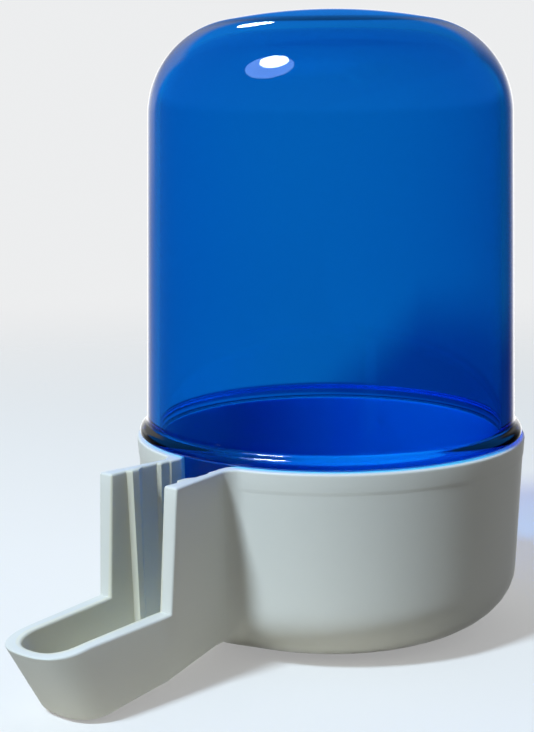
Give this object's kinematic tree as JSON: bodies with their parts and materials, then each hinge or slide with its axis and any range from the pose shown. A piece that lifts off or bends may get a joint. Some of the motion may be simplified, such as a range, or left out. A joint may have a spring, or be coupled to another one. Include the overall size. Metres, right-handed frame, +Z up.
{
  "type": "pet water drinker",
  "caption": "Siphon water drinker for cage birds: a clear blue domed reservoir stands mouth down in a white cup whose slotted side opens into a drinking trough.",
  "frame": {"origin": "middle of the cup's flat foot, on the reservoir's axis", "axes": "+Z up along the reservoir's axis, -Y out towards the spout's tip, +X across the spout"},
  "size_m": [0.0594, 0.0927, 0.0928],
  "materials": {
    "white_plastic": "satin, slightly cool white",
    "clear_blue_plastic": "glossy, see-through blue"
  },
  "bodies": {
    "base": {"base_cup": "white_plastic"},
    "reservoir": {"reservoir": "clear_blue_plastic"}
  },
  "joints": [
    {"name": "reservoir_lift", "type": "slide", "parent": "base", "child": "reservoir", "axis": [0, 0, 1], "range_m": [0, 0.04]}
  ]
}
